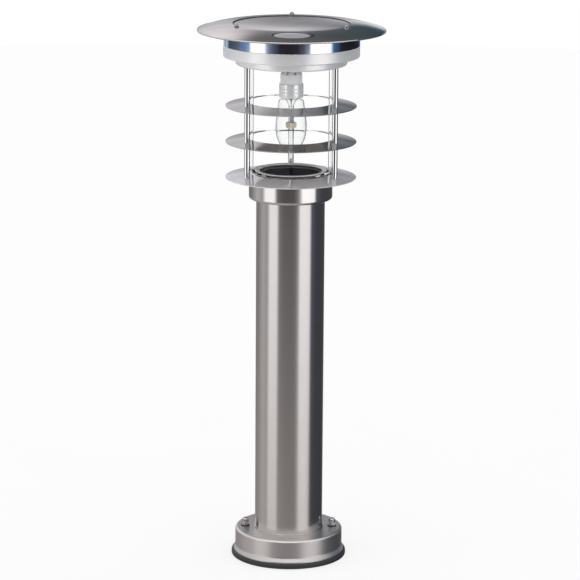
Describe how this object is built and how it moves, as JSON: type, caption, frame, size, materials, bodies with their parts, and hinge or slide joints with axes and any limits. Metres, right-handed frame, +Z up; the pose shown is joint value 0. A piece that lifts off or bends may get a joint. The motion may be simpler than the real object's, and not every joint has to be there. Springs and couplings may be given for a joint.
{
  "type": "bollard light",
  "caption": "Garden bollard light: round post on a bolted base, louvred lantern with a clear jar and candle lamp under a broad lift-off roof.",
  "frame": {"origin": "middle of the rubber gasket's underside, on the ground", "axes": "+Z up the post, -Y the front with the oval inlay on the roof, +X to the right seen from the front"},
  "size_m": [0.2074, 0.2074, 0.6076],
  "materials": {
    "brushed_steel": "brushed",
    "polished_collar": "bright",
    "polished_steel": "polished",
    "zinc_plated_steel": "satin",
    "satin_aluminium": "satin",
    "black_rubber": "matte",
    "clear_silicone": "satin",
    "clear_jar": "clear",
    "lamp_glass": "clear",
    "black_gloss": "gloss",
    "white_plastic": "satin",
    "brass": "satin",
    "nickel_cap": "satin",
    "led_phosphor": "matte"
  },
  "bodies": {
    "root": {"base_gasket": "black_rubber", "ground_plate": "zinc_plated_steel", "ground_studs": "zinc_plated_steel", "cable_grommet": "black_rubber", "base_cover": "brushed_steel", "base_washers": "polished_steel", "base_cap_nuts": "polished_steel", "post_tube": "brushed_steel", "collar": "polished_collar", "post_lid": "black_gloss", "louvre_ring_lower": "brushed_steel", "louvre_ring_middle": "brushed_steel", "louvre_ring_upper": "brushed_steel", "support_rods": "polished_steel", "rod_nuts_lower": "polished_steel", "rod_nuts_upper": "zinc_plated_steel", "seat_ring": "satin_aluminium", "seat_seal": "black_rubber", "jar_cushion": "clear_silicone", "jar_seal": "clear_silicone", "diffuser_jar": "clear_jar", "jar_clips": "zinc_plated_steel", "jar_clip_screws": "zinc_plated_steel", "roof_studs": "zinc_plated_steel"},
    "roof": {"roof_shell": "brushed_steel", "roof_oval_inlay": "satin_aluminium", "roof_top_plate": "brushed_steel", "top_plate_nut": "zinc_plated_steel", "roof_skirt": "polished_steel", "roof_washers": "polished_steel", "roof_dome_nuts": "polished_steel", "holder_bridge": "zinc_plated_steel", "holder_nipple": "zinc_plated_steel", "nipple_nuts": "zinc_plated_steel", "terminal_block": "white_plastic", "lampholder_body": "white_plastic", "lampholder_sleeve": "polished_steel", "holder_liner": "brass", "holder_tongue": "brass"},
    "lamp_centre": {"lamp_contact": "brass"},
    "lamp": {"lamp_insulator": "black_gloss", "lamp_cap": "nickel_cap", "lamp_glass": "lamp_glass", "lamp_stem": "lamp_glass", "lamp_leads": "nickel_cap", "led_post": "white_plastic", "led_chips": "led_phosphor", "lamp_pin": "lamp_glass"}
  },
  "joints": [
    {"name": "roof_lift", "type": "slide", "parent": "root", "child": "roof", "axis": [0, 0, 1], "range_m": [0, 0.13]},
    {"name": "lamp_advance", "type": "slide", "parent": "roof", "child": "lamp_centre", "axis": [0, 0, -1], "range_m": [0, 0.0084]},
    {"name": "lamp_turn", "type": "hinge", "parent": "lamp_centre", "child": "lamp", "pos_m": [0, 0, 0.49], "axis": [0, 0, -1], "range_deg": [0, 1080]}
  ],
  "couplings": [
    {"joint": "lamp_turn", "follows": "lamp_advance", "rad_per_m": 2226.5}
  ]
}
